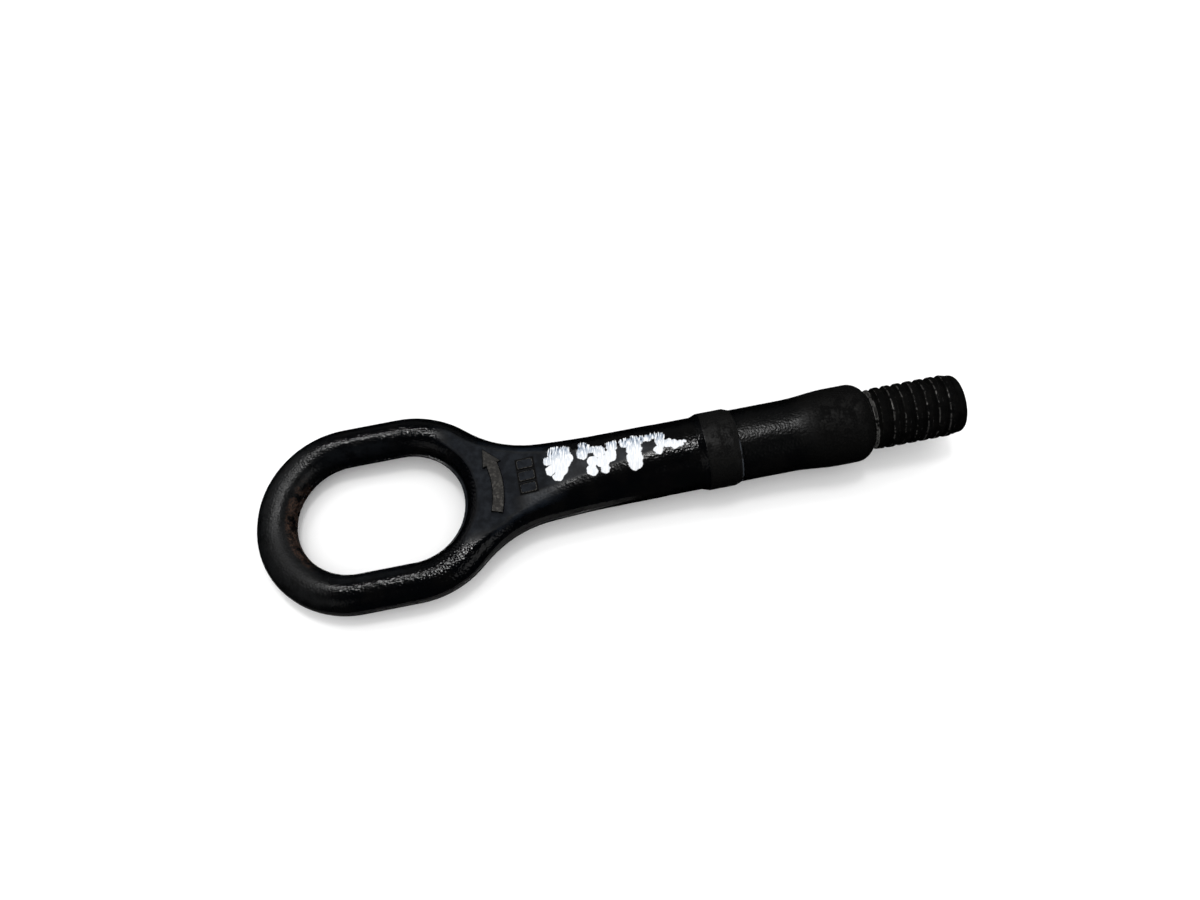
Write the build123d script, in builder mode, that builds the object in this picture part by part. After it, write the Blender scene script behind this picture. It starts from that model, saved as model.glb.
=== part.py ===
"""Screw-in tow eye for a car: one steel forging with a ring to hook on to, a neck that blends from
the flat ring into a round shank, two guide lands and a coarse left-hand thread.
The X axis runs along the shank from ring to thread, Z stands square to the ring, and the origin
lies on the axis in the plane of the seat, where the shoulder ends and the thread begins."""

import os
from math import asin, atan2, cos, degrees, radians, sin, sqrt

from build123d import *

# Ring
reach = 176.0  # outer end of the ring to the seat
ring_radius = 27.4  # outside radius of the ring's two end arcs
ring_straight = 15.9  # distance between the centres of those arcs
bar_width = 10.8  # ring bar across, in the ring's plane
bar_height = 11.0  # ring bar along Z
bar_roundness = 0.945  # rounding of the bar's edges, 1 being a fully round bar
plate_margin = 1.0  # from the hole's rounding to the plane where the neck starts

# Flash left by the trimmed parting line
flash_proud = 0.3
eye_flash_proud = 0.4  # inside the eye
eye_flash_shift = 0.35  # the eye was trimmed this much towards its far end
flash_height = 1.1
flash_fade = 26.0  # length over which the flash sinks into the shank

# Guide lands: the collar and the bulge in front of the thread
land_radius = 11.3
collar_relief = 0.15  # by which the collar is smaller than the bulge
collar_start = -49.8
collar_width = 11.5
collar_lead = 2.0  # cone that leads up on to the collar
collar_tail = 1.9  # cone that leads down from it
collar_step = 0.73  # from the collar down to the shank behind it
bulge_start = -23.4
bulge_ramp = 13.6
bulge_step = 0.9  # from the bulge down to the shank behind it
shoulder_length = 4.4  # rounded end of the bulge

# Neck
throat_radius = 34.4  # concave arc in plan between ring and shank
shank_taper = 0.75  # gain in shank radius from the collar back to the throat arc
taper_ease = 5.0  # how soon that gain is used up, 1 being an even cone
flat_reach = 0.753  # share of the way from throat to collar where the top flat has run out
flat_taper = 1.5  # how fast the flat narrows towards its end
flat_end_angle = 1.5  # half the arc left of each flat in the round end section
neck_stations = (0.06, 0.14, 0.25, 0.4, 0.55, 0.7, 0.85, 0.95)

# Thread, left-hand
thread_radius = 8.88
thread_depth = 0.75
thread_pitch = 3.25
thread_phase = 153.0  # where on the turn the crest starts at the seat, from +Y towards +Z
crest_angle = 130.0  # part of a turn at full radius
root_angle = 50.0  # part of a turn at root radius
flank_fullness = 0.68  # height of the flank halfway along it, as a share of the depth
thread_start = 1.0
thread_rise = 0.7  # length of the cone at the seat
lead_length = 3.6  # over which the first crest gains its full height
lead_drop = 0.35  # by which that crest starts lower
thread_fall = 2.2  # length of the cone over the last crests
thread_end = 25.4
turning_clearance = 0.1  # plain neck below the thread's root, and blank above its crest
seat_margin = 0.17  # flat seat outside the thread's crest
tip_drop = 0.5  # plain tip below the thread's crest
tip_length = 2.2
tip_round = 1.6

# Raised direction arrow on the web
arrow_offset = 9.45  # mid line of the shaft from the hole's edge
arrow_width = 3.4
arrow_tail_angle = -18.3
arrow_neck_angle = 13.6
arrow_tip_angle = 26.2
arrow_head_width = 5.6
arrow_tip_inset = 0.15  # the tip lies this much inside the shaft's mid line
arrow_proud = 0.8
arrow_edge = 0.25
relief_root = 1.0  # depth to which raised marks are let into the web

# Three raised pads beside the arrow
pad_length = 4.6
pad_width = 2.7
pad_spacing = 3.6
pad_proud = 0.45
pad_round = 0.6
pad_edge = 0.2
pad_offset = 11.8  # from the start of the neck
pad_y = 0.7

half_bar = bar_height / 2
bar_round = bar_roundness * min(bar_width, bar_height) / 2
far_centre = -reach + ring_radius
near_centre = far_centre + ring_straight
hole_radius = ring_radius - bar_width
inner_radius = land_radius - bulge_step
collar_radius = land_radius - collar_relief
waist_radius = collar_radius - collar_step
neck_radius = waist_radius + shank_taper
throat_y = neck_radius + throat_radius
throat_x = near_centre + sqrt((ring_radius + throat_radius) ** 2 - throat_y**2)
throat_angle = degrees(atan2(throat_y, throat_x - near_centre))
plate_end = near_centre + hole_radius + bar_round + plate_margin
plate_angle = degrees(asin((throat_x - plate_end) / throat_radius))
flat_end = throat_x + flat_reach * (collar_start - throat_x)
root_radius = thread_radius - thread_depth
flank_radius = root_radius + flank_fullness * thread_depth
flank_angle = (180 + (crest_angle - root_angle) / 2) / 2
core_radius = root_radius - turning_clearance
blank_radius = thread_radius + turning_clearance
seat_radius = thread_radius + seat_margin
tip_radius = thread_radius - tip_drop
arrow_radius = hole_radius + arrow_offset
pad_x = plate_end + pad_offset


def shank_radius(x):
    """Radius of the shank between neck and collar, thicker towards the neck."""
    share = (x - throat_x) / (collar_start - throat_x)
    return waist_radius + shank_taper * (1 - share) ** taper_ease


def neck_half_width(x):
    """Half the neck's width in plan: the throat arc, then the shank."""
    if x > throat_x:
        return shank_radius(x)
    return throat_y - sqrt(throat_radius**2 - (throat_x - x) ** 2)


def neck_half_height(x):
    """Half the neck's height: an even swell from the plate to the shank."""
    share = (x - plate_end) / (flat_end - plate_end)
    return half_bar + (end_radius - half_bar) * share**2 * (3 - 2 * share)


end_radius = shank_radius(flat_end)
end_flat = end_radius * sin(radians(flat_end_angle))
plate_flat = neck_half_width(plate_end) - bar_round / cos(radians(plate_angle))
plate_land = half_bar - bar_round

# Ring and web: a plate with the eye through it, its edges rounded until the bar is nearly round
with BuildPart() as plate:
    with BuildSketch(Plane.XY.offset(-half_bar)):
        with BuildLine():
            CenterArc((far_centre, 0), ring_radius, 90, 90)
            Line((far_centre, ring_radius), (near_centre, ring_radius))
            CenterArc((near_centre, 0), ring_radius, 90, throat_angle - 90)
            throat_sweep = 90 - throat_angle - plate_angle
            throat = CenterArc((throat_x, throat_y), throat_radius, 180 + throat_angle, throat_sweep)
            Line(throat @ 1, (plate_end, 0))
            mirror(about=Plane.XZ)
        make_face()
    extrude(amount=bar_height)
    with BuildSketch(Plane.XY.offset(-half_bar)):
        with Locations(((far_centre + near_centre) / 2, 0)):
            SlotCenterToCenter(ring_straight, 2 * hole_radius)
    extrude(amount=bar_height, mode=Mode.SUBTRACT)
    level = plate.edges().group_by(Axis.Z)
    rims = (level[0] + level[-1]).filter_by(lambda edge: edge.center().X < plate_end - plate_margin / 2)
    fillet(rims, radius=bar_round)

# Neck: sections swelling in height and narrowing in width from the plate to the round shank
with BuildPart() as neck:
    add(plate.faces().sort_by(Axis.X)[-1])
    for share in neck_stations:
        station = plate_end + (flat_end - plate_end) * share
        half_width = neck_half_width(station)
        half_height = neck_half_height(station)
        flat = end_flat + (plate_flat - end_flat) * (1 - share) ** flat_taper
        land = plate_land + (end_flat - plate_land) * share
        corner = (half_width - flat, half_height - land)
        with BuildSketch(Plane.YZ.offset(station)):
            with BuildLine():
                EllipticalCenterArc((flat, land), *corner, 0)
                Line((half_width, land), (half_width, -land))
                EllipticalCenterArc((flat, -land), *corner, 270)
                mirror(about=Plane.YZ)
                Line((-flat, half_height), (flat, half_height))
                Line((-flat, -half_height), (flat, -half_height))
            make_face()
    with BuildSketch(Plane.YZ.offset(flat_end)):
        with BuildLine():
            circle = ((0, 0), end_radius, end_radius)
            corner_sweep = 90 - 2 * flat_end_angle
            EllipticalCenterArc(*circle, flat_end_angle, arc_size=corner_sweep)
            EllipticalCenterArc(*circle, flat_end_angle, arc_size=-2 * flat_end_angle)
            EllipticalCenterArc(*circle, 270 + flat_end_angle, arc_size=corner_sweep)
            mirror(about=Plane.YZ)
            EllipticalCenterArc(*circle, 90 + flat_end_angle, arc_size=-2 * flat_end_angle)
            EllipticalCenterArc(*circle, 270 - flat_end_angle, arc_size=2 * flat_end_angle)
        make_face()
    loft()

# Shank: a turned profile with collar, bulge and rounded shoulder
with BuildPart() as shank:
    with BuildSketch(Plane.XY):
        with BuildLine():
            Polyline(
                (flat_end, 0),
                (flat_end, end_radius),
                (collar_start, waist_radius),
                (collar_start + collar_lead, collar_radius),
                (collar_start + collar_width - collar_tail, collar_radius),
                (collar_start + collar_width, inner_radius),
                (bulge_start, inner_radius),
            )
            Spline(
                (bulge_start, inner_radius),
                (bulge_start + bulge_ramp, land_radius),
                tangents=((1, 0), (1, 0)),
            )
            Line((bulge_start + bulge_ramp, land_radius), (-shoulder_length, land_radius))
            TangentArc((-shoulder_length, land_radius), (0, seat_radius), tangent=(1, 0))
            Polyline((0, seat_radius), (0, 0), (flat_end, 0))
        make_face()
    revolve(axis=Axis.X)

# Thread: a cam-shaped section twisted once per pitch along the axis, then turned to its run-in
with BuildPart() as thread:
    with BuildLine() as screw_axis:
        Line((0, 0, 0), (thread_end, 0, 0))
    with BuildLine(mode=Mode.PRIVATE) as lead:
        Helix(thread_pitch, thread_end, thread_radius, direction=(1, 0, 0), lefthand=True)
    with BuildSketch(Plane.YZ):
        with BuildLine():
            crest = CenterArc((0, 0), thread_radius, thread_phase - crest_angle / 2, crest_angle)
            root = CenterArc((0, 0), root_radius, thread_phase + 180 - root_angle / 2, root_angle)
            leading = Vector(flank_radius, 0).rotate(Axis.Z, thread_phase + flank_angle)
            trailing = Vector(flank_radius, 0).rotate(Axis.Z, thread_phase - flank_angle)
            ThreePointArc(crest @ 1, leading, root @ 0)
            ThreePointArc(root @ 1, trailing, crest @ 0)
        make_face()
    sweep(path=screw_axis.wires()[0], binormal=lead.wires()[0])
    with BuildSketch(Plane.XY):
        with BuildLine():
            Polyline(
                (0, 0),
                (0, core_radius),
                (thread_start, core_radius),
                (thread_start + thread_rise, blank_radius - lead_drop),
                (thread_start + thread_rise + lead_length, blank_radius),
                (thread_end - thread_fall, blank_radius),
                (thread_end, tip_radius),
                (thread_end, 0),
                close=True,
            )
        make_face()
    revolve(axis=Axis.X, mode=Mode.INTERSECT)

# Plain tip with a rounded end
with BuildPart() as tip:
    with BuildSketch(Plane.YZ.offset(thread_end)):
        Circle(tip_radius)
    extrude(amount=tip_length)
    fillet(tip.faces().sort_by(Axis.X)[-1].edges(), radius=tip_round)

# Flash: a thin ridge at half height around the outside of ring and neck and, mostly at the web, in the eye
with BuildPart() as flash:
    with BuildSketch(Plane.XY.offset(-flash_height / 2)):
        with BuildLine():
            rim_radius = ring_radius + flash_proud
            CenterArc((far_centre, 0), rim_radius, 90, 90)
            Line((far_centre, rim_radius), (near_centre, rim_radius))
            CenterArc((near_centre, 0), rim_radius, 90, throat_angle - 90)
            CenterArc(
                (throat_x, throat_y),
                throat_radius - flash_proud,
                180 + throat_angle,
                90 - throat_angle,
            )
            Polyline(
                (throat_x, neck_radius + flash_proud),
                (throat_x + flash_fade, shank_radius(throat_x + flash_fade) - flash_proud),
                (throat_x + flash_fade, 0),
            )
            mirror(about=Plane.XZ)
        make_face()
        with Locations(((far_centre + near_centre) / 2 - eye_flash_shift, 0)):
            SlotCenterToCenter(ring_straight, 2 * (hole_radius - eye_flash_proud), mode=Mode.SUBTRACT)
    extrude(amount=flash_height)

# Arrow: follows the eye's inner arc and shows the way to screw the part in
with BuildPart() as arrow:
    with BuildSketch(Plane.XY.offset(half_bar - relief_root)):
        with BuildLine():
            outer = CenterArc(
                (near_centre, 0),
                arrow_radius + arrow_width / 2,
                arrow_tail_angle,
                arrow_neck_angle - arrow_tail_angle,
            )
            inner = CenterArc(
                (near_centre, 0),
                arrow_radius - arrow_width / 2,
                arrow_tail_angle,
                arrow_neck_angle - arrow_tail_angle,
            )
            Line(inner @ 0, outer @ 0)
            across = Vector(cos(radians(arrow_neck_angle)), sin(radians(arrow_neck_angle)))
            ahead = Vector(cos(radians(arrow_tip_angle)), sin(radians(arrow_tip_angle)))
            centre = Vector(near_centre, 0)
            Polyline(
                outer @ 1,
                centre + across * (arrow_radius + arrow_head_width / 2),
                centre + ahead * (arrow_radius - arrow_tip_inset),
                centre + across * (arrow_radius - arrow_head_width / 2),
                inner @ 1,
            )
        make_face()
    extrude(amount=relief_root + arrow_proud)
    chamfer(arrow.faces().sort_by(Axis.Z)[-1].edges(), length=arrow_edge)

# Pads: three plain raised blocks standing square on the sloping flat
pad_height = neck_half_height(pad_x)
pad_slope = neck_half_height(pad_x + pad_length / 2) - neck_half_height(pad_x - pad_length / 2)
pad_run = Vector(pad_length, 0, pad_slope)
pad_rise = pad_run.cross(Vector(0, 1, 0))
pad_plane = Plane(origin=(pad_x, pad_y, pad_height), x_dir=pad_run, z_dir=pad_rise)
with BuildPart() as pads:
    with BuildSketch(pad_plane.offset(-relief_root)):
        with GridLocations(0, pad_spacing, 1, 3):
            RectangleRounded(pad_length, pad_width, pad_round)
    extrude(amount=relief_root + pad_proud)
    chamfer(pads.faces().filter_by(pad_plane).group_by(Axis.Z)[-1].edges(), length=pad_edge)

# The whole forging
with BuildPart() as tow_eye:
    add(plate.part)
    add(neck.part)
    add(shank.part)
    add(thread.part)
    add(tip.part)
    add(flash.part)
    add(arrow.part)
    add(pads.part)

os.makedirs("parts", exist_ok=True)
tow_eye.part.label = "tow_eye"
export_step(tow_eye.part, "parts/tow_eye.step")
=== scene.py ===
import math

import bpy
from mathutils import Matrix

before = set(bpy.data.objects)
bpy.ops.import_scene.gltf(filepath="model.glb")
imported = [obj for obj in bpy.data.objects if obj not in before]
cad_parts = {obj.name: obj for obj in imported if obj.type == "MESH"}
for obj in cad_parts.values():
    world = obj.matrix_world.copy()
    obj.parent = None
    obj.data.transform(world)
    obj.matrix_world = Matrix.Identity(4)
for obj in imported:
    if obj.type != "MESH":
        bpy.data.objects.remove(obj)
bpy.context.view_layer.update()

# The tow eye: one steel forging, struck flat between two dies, then turned on its lands, threaded at the
# end and dipped in black enamel. All of its shape comes from the solid, so what is added here is its
# finish: the enamel's skin, the places worn by handling, rust in the eye and dabs of white paint, and some
# painted light in its colour: a painted reflection, a painted glint, a painted sheen and painted shade.


class Value:
    """A socket of the finish's nodes, so that what is done to it can be written as a sum."""

    def __init__(self, socket):
        self.socket = socket
        self.tree = socket.id_data

    def node(self, kind, settings, sockets, output=0):
        made = self.tree.nodes.new(kind)
        for name, setting in settings.items():
            setattr(made, name, setting)
        for name, value in sockets.items():
            if isinstance(value, Value):
                self.tree.links.new(value.socket, made.inputs[name])
            else:
                made.inputs[name].default_value = value
        return Value(made.outputs[output])

    def math(self, operation, first, second=0.0):
        return self.node("ShaderNodeMath", {"operation": operation}, {0: first, 1: second})

    def vector(self, operation, sockets, output=0):
        return self.node("ShaderNodeVectorMath", {"operation": operation}, sockets, output)

    def part(self, axis):
        return self.node("ShaderNodeSeparateXYZ", {}, {0: self}, axis)

    def __add__(self, other):
        return self.math("ADD", self, other)

    def __radd__(self, other):
        return self.math("ADD", other, self)

    def __sub__(self, other):
        return self.math("SUBTRACT", self, other)

    def __rsub__(self, other):
        return self.math("SUBTRACT", other, self)

    def __mul__(self, other):
        return self.math("MULTIPLY", self, other)

    def __rmul__(self, other):
        return self.math("MULTIPLY", other, self)

    def __pow__(self, other):
        return self.math("POWER", self, other)

    def __abs__(self):
        return self.math("ABSOLUTE", self)


def fade(value, start, end):
    """0 at start, 1 at end, eased between them."""
    settings = {"interpolation_type": "SMOOTHSTEP"}
    return value.node("ShaderNodeMapRange", settings, {"Value": value, "From Min": start, "From Max": end})


def larger(first, second):
    return first.math("MAXIMUM", first, second)


def grain(place, size, stretch=(1.0, 1.0, 1.0), detail=2.0, roughness=0.5):
    """Random unevenness around 0.5, whose lumps are about as large as size in millimetres."""
    cells = place.vector("MULTIPLY", {0: place, 1: tuple(1.0 / (size * part) for part in stretch)})
    sockets = {"Vector": cells, "Scale": 1.0, "Detail": detail, "Roughness": roughness}
    return place.node("ShaderNodeTexNoise", {}, sockets)


def tinted(amount, under, over):
    """The colour over, laid on the colour under."""
    return amount.node("ShaderNodeMix", {"data_type": "RGBA"}, {0: amount, 6: under, 7: over}, 2)


# Places on the eye are in millimetres from the middle of its seat: along the shank, across it and up. The
# thread is ahead of the seat and the ring is behind it. Level is 1 on a face that looks straight up or down.
millimetre = 0.001
enamel = bpy.data.materials.new("black_enamel")
enamel.use_nodes = True
shader = enamel.node_tree.nodes["Principled BSDF"]
metres = Value(enamel.node_tree.nodes.new("ShaderNodeTexCoord").outputs["Object"])
outward = Value(enamel.node_tree.nodes.new("ShaderNodeNewGeometry").outputs["Normal"])
place = metres.vector("SCALE", {0: metres, "Scale": 1.0 / millimetre})
along = place.part(0)
across = place.part(1)
height = place.part(2)
level = abs(outward.part(2))

# The black enamel: a thin dip coat over forging scale, so its skin is like orange peel. It is glossy on the
# ring's and the neck's round sides, duller on the shank, and dull and bluish on the flat web.
blue_black = (0.0007, 0.0009, 0.0013, 1.0)
grey_black = (0.0016, 0.0016, 0.0017, 1.0)
web_black = (0.0003, 0.0020, 0.0056, 1.0)
web_pale = (0.0034, 0.0070, 0.0130, 1.0)
cloud = grain(place, 7.0, detail=5.0, roughness=0.6)
blotch = grain(place, 2.6, detail=6.0, roughness=0.65)
peel = grain(place, 0.6, detail=0.0)
scale_lumps = grain(place, 3.4)
pits = grain(place, 0.55)
web_side = fade(along, -124.0, -117.0) * fade(along, -103.0, -107.0) * fade(across, -17.0, -11.0)
web_top = fade(along, -112.0, -108.0) * fade(along, -55.5, -64.0)
flat_edge = -4.6 - 0.109 * along
flat_middle = larger(fade(0.0 - across, flat_edge - 0.9, flat_edge - 2.1), fade(along, -98.0, -104.0))
web = larger(fade(level, 0.90, 0.99) * web_side, fade(level, 0.97, 0.995) * web_top * flat_middle)
flat_rim = fade(along, -56.0, -62.0) * fade(along, -112.0, -107.0) * fade(level, 0.72, 0.98) * (1.0 - web)
web_rim = flat_rim * fade(along, -86.0, -95.0)
handled = fade(along, -40.0, -36.0) * fade(along, -12.0, -16.0)
polished = fade(along, -62.0, -57.0) * fade(along, -36.0, -40.0)
colour = tinted(fade(cloud, 0.45, 0.65), blue_black, grey_black)
colour = tinted(larger(web, web_rim), colour, tinted(fade(blotch, 0.36, 0.66), web_black, web_pale))
web_dull = 0.69 - 0.26 * fade(along, -95.0, -86.0) - 0.08 * fade(blotch, 0.45, 0.65)
roughness = 0.12 + 0.05 * fade(cloud, 0.4, 0.7) + 0.05 * polished + 0.20 * handled
roughness = roughness + web_dull * web + 0.10 * flat_rim + 0.18 * web_rim
peel_depth = 0.085 + 0.045 * fade(along, -140.0, -126.0) - 0.04 * handled - 0.02 * polished
peel_depth = peel_depth * (1.0 - 0.94 * web) * (1.0 - 0.5 * flat_rim) * (1.0 - 0.4 * web_rim)
skin = peel * peel_depth + scale_lumps * 0.08 + pits * web * 0.02

# The trimmed flash: the dies' parting line was sheared off, and the enamel is dull on the sheared face and
# on the ledge above it. On that ledge a thin, broken grey line is painted: a painted reflection of the pale
# table along the eye's lower outer edges.
ring_middle = -140.65
ring_half_straight = 7.95
bar_line = 22.0
flash_half = 0.5
reflection_grey = (0.0160, 0.0160, 0.0155, 1.0)
flash_roughness = 0.55
beyond = larger(abs(along - ring_middle) - ring_half_straight, 0.0)
off_line = (beyond ** 2.0 + across ** 2.0) ** 0.5 - bar_line
reflection_top = 2.0 + 1.2 * fade(along, -116.0, -102.0)
forged_edge = fade(off_line, 3.0, 4.5) * fade(along, -66.0, -76.0)
sheared = fade(abs(height), flash_half + 0.1, flash_half) * fade(level, 0.3, 0.1) * forged_edge
ledge = fade(height, flash_half - 0.05, flash_half + 0.1) * fade(height, reflection_top, reflection_top - 0.9)
table_reflection = ledge * forged_edge * (0.45 + 0.55 * fade(blotch, 0.38, 0.58))
trimmed = larger(sheared, table_reflection)
# Painted reflection: the table's reflection laid on the ledge as a thin grey line.
colour = tinted(table_reflection, colour, reflection_grey)
roughness = roughness * (1.0 - trimmed) + flash_roughness * trimmed


# The rubbed lands: the collar and the bulge fit in the car's socket, and its wall has rubbed their enamel
# to a dull brown-black film that is blotched, full of fine pits and marked round and round.
def within(value, low, high, soft):
    """1 between low and high, with edges as wide as soft."""
    return fade(value, low - soft, low + soft) * fade(value, high + soft, high - soft)


collar_rear = -47.7
collar_front = -38.4
film_brown = (0.0007, 0.0007, 0.0007, 1.0)
film_pale = (0.0022, 0.0020, 0.0016, 1.0)
rings = grain(place, 0.4, stretch=(1.0, 12.0, 12.0))
ragged = along + (blotch - 0.5) * 14.0
bulge_film = fade(ragged, -22.5, -14.5) * fade(along, 0.2, -0.4)
collar_film = within(along, collar_rear, collar_front, 0.25)
film = larger(bulge_film, collar_film)
film_light = fade(blotch * 0.6 + pits * 0.25 + rings * 0.15 + collar_film * 0.015, 0.45, 0.57)
colour = tinted(film, colour, tinted(film_light, film_brown, film_pale))
roughness = roughness * (1.0 - film) + (0.90 - 0.37 * film_light) * film
metal = bulge_film * 0.35
skin = skin + film * (pits * 0.10 + rings * 0.03)

# The collar's front edge: a sharp corner, so the dip coat is thinnest on it. On its near side a thin pale
# bluish line is painted along it: a painted glint.
glint_grey = (0.0300, 0.0350, 0.0430, 1.0)
glint_line = within(along, collar_front - 0.15, collar_front + 0.2, 0.1)
collar_glint = glint_line * fade(across, -1.5, -4.0) * fade(blotch, 0.36, 0.5)
# Painted glint: a thin pale line on the near side of the collar's front edge.
colour = tinted(collar_glint, colour, glint_grey)

# The arrow: raised by the die, so its top is what touches the bench first. The enamel there is worn
# through to dull brown-grey steel, and its sides are still black.
arrow_rear = -113.0
arrow_front = -103.2
arrow_steel = (0.0140, 0.0126, 0.0108, 1.0)
arrow_bright = (0.0540, 0.0500, 0.0440, 1.0)
arrow_roughness = 0.72
arrow_top = fade(height, 6.12, 6.26) * within(along, arrow_rear, arrow_front, 0.1)
nicks = grain(place, 0.6, detail=3.0)
rubbed = fade(nicks, 0.42, 0.72) * (0.4 + 0.6 * fade(across, 12.0, -8.0))
colour = tinted(arrow_top, colour, tinted(rubbed, arrow_steel, arrow_bright))
roughness = roughness * (1.0 - arrow_top) + arrow_roughness * arrow_top
skin = skin + arrow_top * nicks * 0.12

# The pads: three plain raised blocks next to the arrow. Their rims are rubbed like the arrow's top, and
# their feet are painted black and made dull: painted shade round the foot of each block.
pad_rear = -100.95
pad_front = -95.45
pad_middles = (-2.9, 0.7, 4.3)
pad_half_width = 1.8
pad_steel = (0.0420, 0.0390, 0.0350, 1.0)
shade_black = (0.0004, 0.0004, 0.0005, 1.0)
pad_top = 17.016 + 0.1056 * along
pad_lift = height - pad_top
pad_zone = 0.0 * along
for pad_middle in pad_middles:
    pad_width = within(across, pad_middle - pad_half_width, pad_middle + pad_half_width, 0.2)
    pad_zone = larger(pad_zone, within(along, pad_rear, pad_front, 0.2) * pad_width)
pad_rim = pad_zone * fade(pad_lift, -0.26, -0.14) * fade(level, 0.985, 0.93) * fade(nicks, 0.3, 0.6)
pad_foot_shade = pad_zone * fade(pad_lift, -0.2, -0.32)
# Painted shade: the foot of each pad is painted black.
colour = tinted(pad_foot_shade, colour, shade_black)
colour = tinted(pad_rim, colour, pad_steel)
roughness = larger(roughness, larger(pad_foot_shade * 0.95, pad_rim * 0.6))

# The ring's far end: it drags over whatever the eye is thrown on, so its gloss is gone and dust lies in it.
# The same bluish grey is painted on the upper inner slopes of the ring's bars as a painted sheen, and inside
# the eye the hook has broken the enamel and let brown rust through.
dust_and_sheen = (0.0030, 0.0036, 0.0044, 1.0)
rust_dark = (0.0120, 0.0050, 0.0024, 1.0)
rust_light = (0.0460, 0.0180, 0.0070, 1.0)
rust_roughness = 0.75
drag = fade(along + (cloud - 0.5) * 14.0, -150.0, -166.0) * fade(height, -1.0, 2.0)
inner_sheen = within(off_line, -4.6, -1.8, 0.8) * fade(along, -131.0, -140.0) * fade(height, 0.0, 2.0)
dust_and_sheen_amount = larger(drag, inner_sheen) * fade(blotch, 0.34, 0.58)
# Dust at the ring's far end, and a painted sheen on the upper inner slopes of its bars.
colour = tinted(dust_and_sheen_amount, colour, dust_and_sheen)
roughness = roughness + (0.24 + 0.20 * fade(across, 6.0, -8.0)) * drag
rust_reach = fade(along + (cloud - 0.5) * 10.0, -159.0, -164.0)
rust = rust_reach * fade(off_line, -3.1, -4.3) * fade(blotch, 0.40, 0.55)
colour = tinted(rust, colour, tinted(fade(pits, 0.4, 0.65), rust_dark, rust_light))
roughness = larger(roughness, rust * rust_roughness)

# The thread: cut left-handed and left thinly coated. Its crests are dark and greasy, with their edges
# rounded and scraped to bare steel in places, and a bright ring is worn next to the shoulder.
crest_foot = 8.68
thread_black = (0.0006, 0.0006, 0.0006, 1.0)
thread_brown = (0.0040, 0.0035, 0.0027, 1.0)
edge_steel = (0.2000, 0.1960, 0.1880, 1.0)
seat_steel = (0.2600, 0.2550, 0.2450, 1.0)
threaded = fade(along, 0.1, 0.5)
scraped = grain(place, 1.5, detail=4.0)
radius = (across ** 2.0 + height ** 2.0) ** 0.5
crest_rise = larger(radius - crest_foot, 0.0)
rearward = fade(outward.part(0), -0.12, -0.3)
crest_edge = within(radius, crest_foot + 0.02, crest_foot + 0.18, 0.03) * rearward * threaded
worn_edge = crest_edge * fade(scraped, 0.48, 0.56)
seat_ring = within(along, 0.9, 1.7, 0.15) * fade(scraped, 0.36, 0.56)
colour = tinted(threaded, colour, tinted(fade(blotch, 0.4, 0.68), thread_black, thread_brown))
colour = tinted(worn_edge, colour, edge_steel)
colour = tinted(seat_ring, colour, seat_steel)
metal = larger(metal + threaded * 0.6, larger(worn_edge, seat_ring * 0.95))
thread_roughness = 0.74 + 0.2 * blotch - 0.49 * crest_edge - 0.52 * seat_ring
roughness = roughness * (1.0 - threaded) + thread_roughness * threaded
seat_slope = fade(along, 2.2, 1.8) * along * 0.12
skin = skin + threaded * (pits * 0.05 + rings * 0.04 - crest_rise ** 2.0 * 3.1 + seat_slope)

# The white dabs: touches of a paint brush on top of the neck. Each was pressed on thick in a few round
# spots, given by their places and sizes, and drawn off to the far side, where the bristles ran dry.
dab_white = (0.79, 0.80, 0.81, 1.0)
dab_thin = (0.14, 0.20, 0.29, 1.0)
dab_roughness = 0.45
dab_depth = 0.06
dab_spots = (
    (7.2, ((-89.3, 5.3, 2.3), (-86.9, 5.0, 2.0), (-88.0, 2.6, 3.0), (-91.6, 3.4, 1.5), (-91.2, 0.6, 1.6),
           (-89.6, -1.6, 1.6), (-88.4, 0.4, 2.2), (-85.6, 2.6, 1.2))),
    (6.2, ((-81.3, 5.0, 1.9), (-81.7, 3.2, 1.9), (-79.2, 3.6, 1.2), (-79.3, 0.2, 1.7), (-80.0, -2.4, 1.7),
           (-77.2, 2.6, 1.9), (-76.6, -0.6, 2.0), (-76.3, -2.9, 1.5), (-74.2, 0.6, 1.9), (-73.4, 3.4, 1.7))),
    (5.2, ((-69.6, 3.4, 1.7), (-67.4, 3.3, 2.0), (-65.4, 3.4, 1.5), (-67.6, 1.0, 2.3), (-67.8, -1.6, 2.4),
           (-67.9, -3.2, 2.0))),
    (5.0, ((-63.0, 3.6, 1.2), (-61.4, 3.9, 1.2), (-59.8, 3.2, 1.6), (-59.9, 1.2, 1.7), (-61.0, -0.7, 1.4),
           (-58.0, 0.6, 1.5), (-56.2, 0.0, 1.5), (-54.6, 0.0, 1.2), (-53.4, 0.4, 0.8))),
)
far_off = 9.0
brushed = place.node("ShaderNodeCombineXYZ", {}, {"X": along - across * 0.2, "Y": across})
streaks = grain(brushed, 0.34, stretch=(1.0, 6.0, 1.0))
wobble = (grain(place, 1.7, detail=3.0) - 0.5) * 1.5
unpainted = 0.0 * wobble
dabs = unpainted
thinned = unpainted
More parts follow.
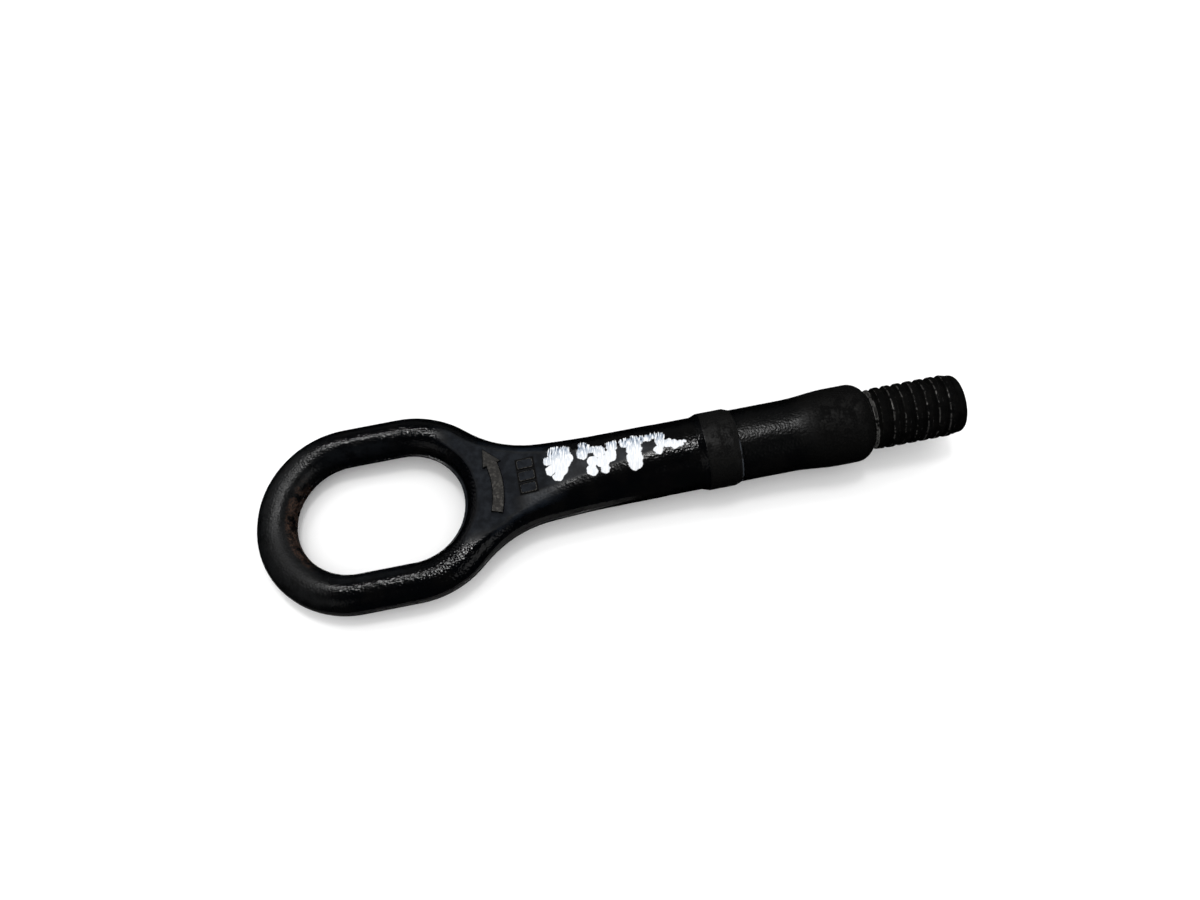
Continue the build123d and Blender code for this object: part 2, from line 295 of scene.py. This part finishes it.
for dab_end, spots in dab_spots:
    thick = unpainted - far_off
    for spot_x, spot_y, spot_size in spots:
        apart = ((along - spot_x) ** 2.0 + (across - spot_y) ** 2.0) ** 0.5
        thick = larger(thick, spot_size - apart)
    drying = fade(across, dab_end - 5.4, dab_end)
    cover = fade(thick + wobble + drying * (streaks - 0.5) * 2.2, 0.0, 0.25)
    thinned = larger(thinned, cover * (0.25 + 0.75 * drying) * fade(streaks + wobble * 0.12, 0.62, 0.46))
    dabs = larger(dabs, cover * fade(streaks, 0.38 * drying, 0.38 * drying + 0.14))
dabs = dabs * fade(height, 3.0, 5.0)
colour = tinted(dabs, colour, tinted(thinned, dab_white, dab_thin))
roughness = roughness * (1.0 - dabs) + dab_roughness * dabs
metal = metal * (1.0 - dabs)
skin = skin + dabs * dab_depth

# The finished eye: one forging, so all of these coats and marks go on it as one finish. The skin is the
# height of the enamel's unevenness in millimetres, and it bends the light without moving the surface.
bent = place.node("ShaderNodeBump", {}, {"Height": skin, "Distance": millimetre})
finish = {"Base Color": colour, "Roughness": roughness, "Metallic": metal, "Normal": bent}
for name, value in finish.items():
    enamel.node_tree.links.new(value.socket, shader.inputs[name])

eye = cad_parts["tow_eye"]
eye.data.materials.clear()
eye.data.materials.append(enamel)

# The table top: a plain pale sheet. The eye lies as it was put down, on the underside of its ring and
# on the rear edge of its collar, so in the eye's own frame the sheet slopes a little.
ring_rest = (-0.1706, -0.0055)
collar_rest = (-0.0478, -0.01115)
slope = (collar_rest[1] - ring_rest[1]) / (collar_rest[0] - ring_rest[0])
middle = -0.075
middle_height = ring_rest[1] + slope * (middle - ring_rest[0])
sheet_side = 8.0
hair_gap = 0.00002
paper_white = (0.97, 0.97, 0.97, 1.0)

bpy.ops.object.select_all(action="DESELECT")
bpy.ops.mesh.primitive_plane_add(size=sheet_side, location=(middle, 0.0, middle_height - hair_gap))
sheet = bpy.context.object
sheet.name = "pale_sheet"
sheet.rotation_euler = (0.0, -math.atan(slope), 0.0)
bpy.ops.object.transform_apply(location=True, rotation=True, scale=True)
sheet.visible_glossy = False
sheet.visible_diffuse = False
paper = bpy.data.materials.new("pale_paper")
paper.use_nodes = True
paper_sockets = paper.node_tree.nodes["Principled BSDF"].inputs
paper_sockets["Base Color"].default_value = paper_white
paper_sockets["Roughness"].default_value = 0.9
paper_sockets["Specular IOR Level"].default_value = 0.0
sheet.data.materials.append(paper)


# The light: soft panels overhead and beyond the eye, whose images run along its crests, and dim pale walls
# low around it that show in its gloss. A broad wash and the room light the table and don't show in it.
def soft_panel(name, from_zenith, bearing, distance, width, length, brightness):
    """A panel that faces the eye's middle, placed by its angles as seen from there."""
    tilt = math.radians(from_zenith)
    turn = math.radians(bearing)
    reach = distance * math.sin(tilt)
    panel = bpy.data.lights.new(name, "AREA")
    panel.shape = "RECTANGLE"
    panel.size = width
    panel.size_y = length
    panel.energy = brightness * math.pi * width * length
    stand = bpy.data.objects.new(name, panel)
    stand.location = (middle + reach * math.cos(turn), reach * math.sin(turn), distance * math.cos(tilt))
    stand.rotation_euler = (0.0, tilt, turn)
    bpy.context.scene.collection.objects.link(stand)
    return stand


soft_panel("ring_panel", 29.0, 116.0, 1.5, 0.24, 0.24, 10.5)
soft_panel("shank_panel", 11.5, 72.0, 1.5, 0.26, 0.26, 19.0)
soft_panel("far_wall", 72.0, 90.0, 2.0, 1.1, 1.5, 0.05)
thread_wall_brightness = 0.45
ring_wall_brightness = 0.20
walls = (
    ("far_thread_wall", 42.0, thread_wall_brightness),
    ("near_thread_wall", 318.0, thread_wall_brightness),
    ("far_ring_wall", 138.0, ring_wall_brightness),
    ("near_ring_wall", 222.0, ring_wall_brightness),
)
for wall_name, wall_bearing, wall_brightness in walls:
    soft_panel(wall_name, 64.0, wall_bearing, 2.0, 1.2, 1.2, wall_brightness)
wash = soft_panel("table_wash", 22.0, 80.0, 2.0, 3.0, 3.0, 0.35)
wash.visible_glossy = False

room = bpy.data.worlds.new("pale_room")
room.use_nodes = True
room.node_tree.nodes["Background"].inputs["Color"].default_value = (1.0, 1.0, 1.0, 1.0)
room.cycles_visibility.glossy = False
bpy.context.scene.world = room
bpy.context.scene.view_settings.view_transform = "Standard"

# The camera: a small camera, held by hand above the table on the near side and turned a little. The ring
# is nearer to it than the thread is, so the ring looks larger.
lens = bpy.data.cameras.new("photo_camera")
lens.lens = 30.0
lens.sensor_width = 36.0
lens.clip_start = 0.01
camera = bpy.data.objects.new("photo_camera", lens)
camera.location = (-0.08628, -0.10198, 0.26726)
camera.rotation_euler = (math.radians(22.087), math.radians(2.307), math.radians(-10.857))
bpy.context.scene.collection.objects.link(camera)
bpy.context.scene.camera = camera
